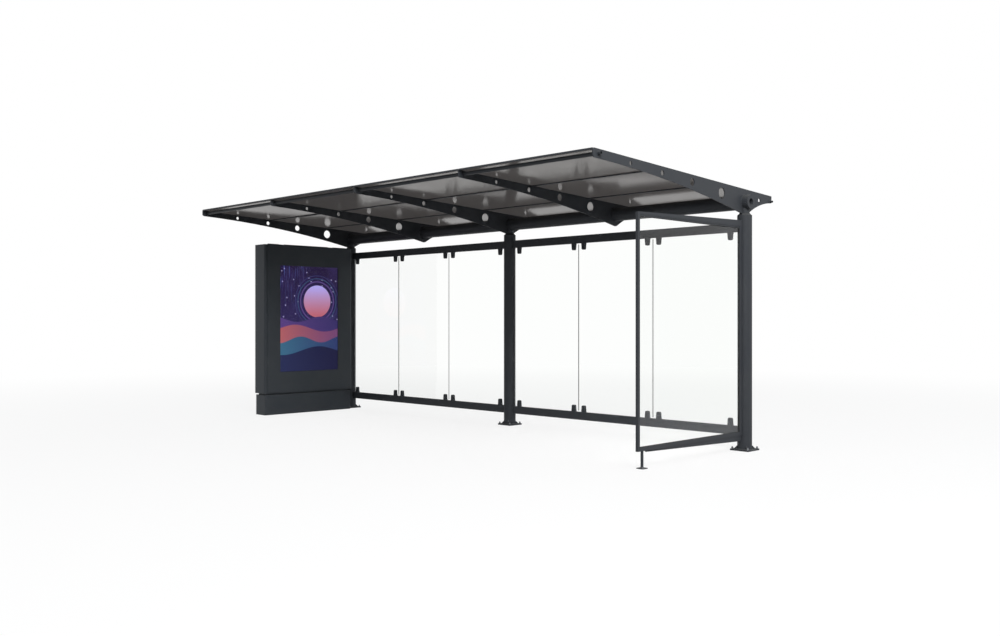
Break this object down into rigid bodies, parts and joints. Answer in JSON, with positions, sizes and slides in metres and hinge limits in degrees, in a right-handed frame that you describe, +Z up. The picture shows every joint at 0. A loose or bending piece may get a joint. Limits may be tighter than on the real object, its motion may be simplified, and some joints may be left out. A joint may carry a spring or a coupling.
{
  "type": "bus shelter",
  "caption": "Open-fronted bus shelter: ribbed cantilever roof on round posts with clamped glass walls and a poster box.",
  "frame": {"origin": "centre of the middle post's base plate, on its underside at ground level", "axes": "+X along the shelter to the right seen from its open front, +Y to its back wall, +Z up"},
  "size_m": [6.19, 2.6407, 2.495],
  "materials": {
    "frame_paint": "anthracite powder coat, fine texture",
    "box_paint": "anthracite powder coat, smooth",
    "clear_glass": "toughened clear glass",
    "roof_sheet": "dark tinted, glossy",
    "poster_glass": "clear window of the poster box",
    "poster": null
  },
  "bodies": {
    "root": {"back_glass_1": "clear_glass", "back_glass_2": "clear_glass", "back_glass_3": "clear_glass", "back_glass_4": "clear_glass", "back_glass_5": "clear_glass", "back_glass_6": "clear_glass", "base_plate_left": "frame_paint", "base_plate_middle": "frame_paint", "base_plate_right": "frame_paint", "box_back_panel": "box_paint", "box_body": "box_paint", "box_brackets": "box_paint", "box_door": "box_paint", "box_plinth": "box_paint", "front_trim": "frame_paint", "front_tubes": "frame_paint", "lower_clamps": "frame_paint", "lower_rail_left": "frame_paint", "lower_rail_right": "frame_paint", "main_beam": "frame_paint", "post_left": "frame_paint", "post_middle": "frame_paint", "post_right": "frame_paint", "poster_glass": "poster_glass", "poster_sheet": "poster", "purlins": "frame_paint", "rear_tubes": "frame_paint", "rib_left_bay": "frame_paint", "rib_left_end": "frame_paint", "rib_middle": "frame_paint", "rib_right_bay": "frame_paint", "rib_right_end": "frame_paint", "roof_panel_1": "roof_sheet", "roof_panel_2": "roof_sheet", "roof_panel_3": "roof_sheet", "roof_panel_4": "roof_sheet", "side_bottom_rail": "frame_paint", "side_front_stile": "frame_paint", "side_glass": "clear_glass", "side_leg": "frame_paint", "side_rear_stile": "frame_paint", "side_top_rail": "frame_paint", "upper_clamps": "frame_paint", "upper_rail_left": "frame_paint", "upper_rail_right": "frame_paint"}
  },
  "joints": []
}
